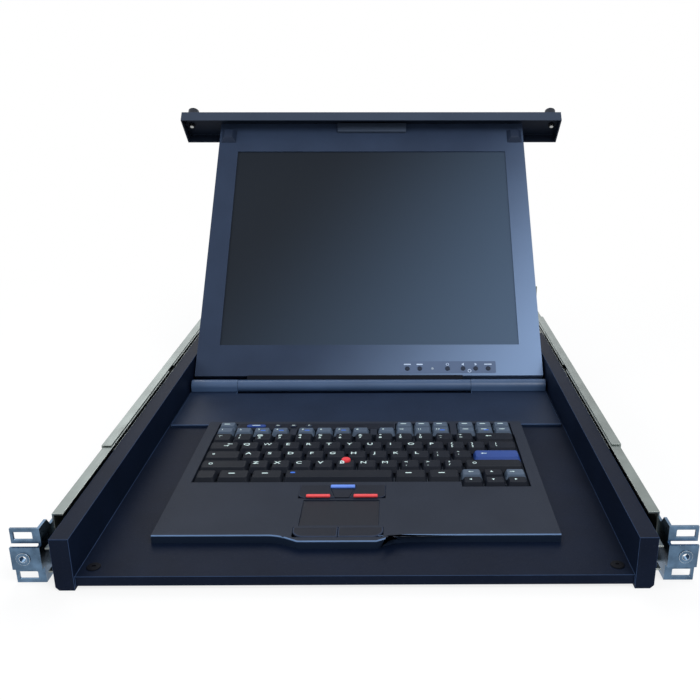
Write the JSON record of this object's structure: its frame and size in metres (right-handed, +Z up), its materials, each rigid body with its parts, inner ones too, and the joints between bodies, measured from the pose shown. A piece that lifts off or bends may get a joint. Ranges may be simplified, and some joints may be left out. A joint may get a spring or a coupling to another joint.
{
  "type": "rackmount lcd console drawer",
  "caption": "Shallow rack drawer on telescopic ball slides, with a keyboard, touchpad and pointing stick in its tray and a hinged flat screen carrying the slotted front panel.",
  "frame": {"origin": "centre of the four front rack slots, on the rear face of the ears' outer tabs, which seats on the front rack posts", "axes": "+X to the right as the user faces the drawer, +Y into the rack, +Z up"},
  "size_m": [0.4826, 0.696, 0.3014],
  "materials": {
    "painted_steel": "dark blue-black textured powder coat",
    "zinc_steel": "bright zinc plate",
    "galvanised_steel": "galvanised steel",
    "slide_steel": "bright zinc plate, lightly greased",
    "hinge_steel": "dark steel pins",
    "screen": "dark satin screen",
    "circuit_board": "green circuit board",
    "keyboard_plastic": "dark moulded plastic, fine texture",
    "key_grey": "light grey key plastic",
    "key_black": "near-black key plastic",
    "key_blue": "blue key plastic",
    "stick_red": "red rubber",
    "touch_surface": "fine textured touch surface",
    "module_metal": "plain zinc case"
  },
  "bodies": {
    "cabinet_rails": {"ear_bracket_left": "zinc_steel", "ear_bracket_right": "zinc_steel", "rail_front_left": "galvanised_steel", "rail_front_right": "galvanised_steel", "rail_carrier_left": "galvanised_steel", "rail_carrier_right": "galvanised_steel", "rail_rear_left": "galvanised_steel", "rail_rear_right": "galvanised_steel", "slide_outer_left": "slide_steel", "slide_outer_right": "slide_steel", "rail_fasteners": "zinc_steel"},
    "slide_middle": {"slide_middle_left": "slide_steel", "slide_middle_right": "slide_steel"},
    "cages_outer": {"ball_cages_outer": "slide_steel"},
    "cages_inner": {"ball_cages_inner": "slide_steel"},
    "tray": {"tray_shell": "painted_steel", "tray_deck": "painted_steel", "rear_cover": "painted_steel", "slide_inner_left": "slide_steel", "slide_inner_right": "slide_steel", "hinge_block_left": "painted_steel", "hinge_block_right": "painted_steel", "hinge_pins": "hinge_steel", "keyboard_frame": "keyboard_plastic", "keyboard_plate": "zinc_steel", "touchpad": "touch_surface", "pointing_stick": "stick_red", "power_module": "module_metal", "interface_board": "circuit_board"},
    "display": {"display_frame": "painted_steel", "display_back": "painted_steel", "lcd_panel": "screen", "display_board": "circuit_board", "hinge_barrel": "painted_steel", "front_panel": "painted_steel", "panel_catches": "key_black"},
    "screw_clip_left": {"thumbscrew_clip_left": "zinc_steel"},
    "screw_left": {"thumbscrew_left": "zinc_steel"},
    "screw_clip_right": {"thumbscrew_clip_right": "zinc_steel"},
    "screw_right": {"thumbscrew_right": "zinc_steel"},
    "menu_one": {"menu_button_one": "key_black"},
    "menu_two": {"menu_button_two": "key_black"},
    "menu_three": {"menu_button_three": "key_black"},
    "menu_four": {"menu_button_four": "key_black"},
    "menu_five": {"menu_button_five": "key_black"},
    "menu_six": {"menu_button_six": "key_black"},
    "stick_button_left_body": {"stick_button_left": "key_black"},
    "stick_button_middle_body": {"stick_button_middle": "key_black"},
    "stick_button_right_body": {"stick_button_right": "key_black"},
    "pad_button_left_body": {"pad_button_left": "key_black"},
    "pad_button_right_body": {"pad_button_right": "key_black"},
    "access_button_body": {"access_button": "key_blue"},
    "sound_buttons_body": {"sound_buttons": "key_black"},
    "key_row_function_body": {"key_row_function": "key_grey"},
    "key_row_number_body": {"key_row_number": "key_black"},
    "key_row_upper_body": {"key_row_upper": "key_black"},
    "key_row_home_body": {"key_row_home": "key_black"},
    "key_row_lower_body": {"key_row_lower": "key_black"},
    "key_row_bottom_body": {"key_row_bottom": "key_black"},
    "key_enter_body": {"key_enter": "key_blue"}
  },
  "joints": [
    {"name": "tray_slide", "type": "slide", "parent": "cabinet_rails", "child": "tray", "axis": [0, -1, 0], "range_m": [-0.006, 0.394]},
    {"name": "slide_middle_travel", "type": "slide", "parent": "cabinet_rails", "child": "slide_middle", "axis": [0, -1, 0], "range_m": [-0.003, 0.197]},
    {"name": "cages_outer_travel", "type": "slide", "parent": "cabinet_rails", "child": "cages_outer", "axis": [0, -1, 0], "range_m": [-0.0015, 0.0985]},
    {"name": "cages_inner_travel", "type": "slide", "parent": "cabinet_rails", "child": "cages_inner", "axis": [0, -1, 0], "range_m": [-0.0045, 0.2955]},
    {"name": "display_hinge", "type": "hinge", "parent": "tray", "child": "display", "pos_m": [0, 0.3422, -0.00513], "axis": [1, 0, 0], "range_deg": [0, 133.15]},
    {"name": "thumbscrew_left_slide", "type": "slide", "parent": "display", "child": "screw_clip_left", "axis": [0, -0.6839, -0.7296], "range_m": [0, 0.0118]},
    {"name": "thumbscrew_left_spin", "type": "hinge", "parent": "screw_clip_left", "child": "screw_left", "pos_m": [-0.23255, 0.61212, 0.27532], "axis": [0, -0.6839, -0.7296], "continuous": true},
    {"name": "thumbscrew_right_slide", "type": "slide", "parent": "display", "child": "screw_clip_right", "axis": [0, -0.6839, -0.7296], "range_m": [0, 0.0118]},
    {"name": "thumbscrew_right_spin", "type": "hinge", "parent": "screw_clip_right", "child": "screw_right", "pos_m": [0.23255, 0.61212, 0.27532], "axis": [0, -0.6839, -0.7296], "continuous": true},
    {"name": "menu_button_one_press", "type": "slide", "parent": "display", "child": "menu_one", "axis": [0, 0.7296, -0.6839], "range_m": [0, 0.0007], "stiffness_N_per_m": 400, "springref_m": -0.001},
    {"name": "menu_button_two_press", "type": "slide", "parent": "display", "child": "menu_two", "axis": [0, 0.7296, -0.6839], "range_m": [0, 0.0007], "stiffness_N_per_m": 400, "springref_m": -0.001},
    {"name": "menu_button_three_press", "type": "slide", "parent": "display", "child": "menu_three", "axis": [0, 0.7296, -0.6839], "range_m": [0, 0.0007], "stiffness_N_per_m": 400, "springref_m": -0.001},
    {"name": "menu_button_four_press", "type": "slide", "parent": "display", "child": "menu_four", "axis": [0, 0.7296, -0.6839], "range_m": [0, 0.0007], "stiffness_N_per_m": 400, "springref_m": -0.001},
    {"name": "menu_button_five_press", "type": "slide", "parent": "display", "child": "menu_five", "axis": [0, 0.7296, -0.6839], "range_m": [0, 0.0007], "stiffness_N_per_m": 400, "springref_m": -0.001},
    {"name": "menu_button_six_press", "type": "slide", "parent": "display", "child": "menu_six", "axis": [0, 0.7296, -0.6839], "range_m": [0, 0.0007], "stiffness_N_per_m": 400, "springref_m": -0.001},
    {"name": "stick_button_left_press", "type": "slide", "parent": "tray", "child": "stick_button_left_body", "axis": [0, 0, -1], "range_m": [0, 0.0009], "stiffness_N_per_m": 400, "springref_m": -0.001},
    {"name": "stick_button_middle_press", "type": "slide", "parent": "tray", "child": "stick_button_middle_body", "axis": [0, 0, -1], "range_m": [0, 0.0009], "stiffness_N_per_m": 400, "springref_m": -0.001},
    {"name": "stick_button_right_press", "type": "slide", "parent": "tray", "child": "stick_button_right_body", "axis": [0, 0, -1], "range_m": [0, 0.0009], "stiffness_N_per_m": 400, "springref_m": -0.001},
    {"name": "pad_button_left_press", "type": "slide", "parent": "tray", "child": "pad_button_left_body", "axis": [0, 0, -1], "range_m": [0, 0.0009], "stiffness_N_per_m": 400, "springref_m": -0.001},
    {"name": "pad_button_right_press", "type": "slide", "parent": "tray", "child": "pad_button_right_body", "axis": [0, 0, -1], "range_m": [0, 0.0009], "stiffness_N_per_m": 400, "springref_m": -0.001},
    {"name": "access_button_press", "type": "slide", "parent": "tray", "child": "access_button_body", "axis": [0, 0, -1], "range_m": [0, 0.0009], "stiffness_N_per_m": 400, "springref_m": -0.001},
    {"name": "sound_buttons_press", "type": "slide", "parent": "tray", "child": "sound_buttons_body", "axis": [0, 0, -1], "range_m": [0, 0.0009], "stiffness_N_per_m": 400, "springref_m": -0.001},
    {"name": "key_row_function_press", "type": "slide", "parent": "tray", "child": "key_row_function_body", "axis": [0, 0, -1], "range_m": [0, 0.002], "stiffness_N_per_m": 400, "springref_m": -0.001},
    {"name": "key_row_number_press", "type": "slide", "parent": "tray", "child": "key_row_number_body", "axis": [0, 0, -1], "range_m": [0, 0.002], "stiffness_N_per_m": 400, "springref_m": -0.001},
    {"name": "key_row_upper_press", "type": "slide", "parent": "tray", "child": "key_row_upper_body", "axis": [0, 0, -1], "range_m": [0, 0.002], "stiffness_N_per_m": 400, "springref_m": -0.001},
    {"name": "key_row_home_press", "type": "slide", "parent": "tray", "child": "key_row_home_body", "axis": [0, 0, -1], "range_m": [0, 0.002], "stiffness_N_per_m": 400, "springref_m": -0.001},
    {"name": "key_row_lower_press", "type": "slide", "parent": "tray", "child": "key_row_lower_body", "axis": [0, 0, -1], "range_m": [0, 0.002], "stiffness_N_per_m": 400, "springref_m": -0.001},
    {"name": "key_row_bottom_press", "type": "slide", "parent": "tray", "child": "key_row_bottom_body", "axis": [0, 0, -1], "range_m": [0, 0.002], "stiffness_N_per_m": 400, "springref_m": -0.001},
    {"name": "key_enter_press", "type": "slide", "parent": "tray", "child": "key_enter_body", "axis": [0, 0, -1], "range_m": [0, 0.002], "stiffness_N_per_m": 400, "springref_m": -0.001}
  ],
  "couplings": [
    {"joint": "slide_middle_travel", "follows": "tray_slide", "ratio": 0.5},
    {"joint": "cages_outer_travel", "follows": "tray_slide", "ratio": 0.25},
    {"joint": "cages_inner_travel", "follows": "tray_slide", "ratio": 0.75}
  ]
}
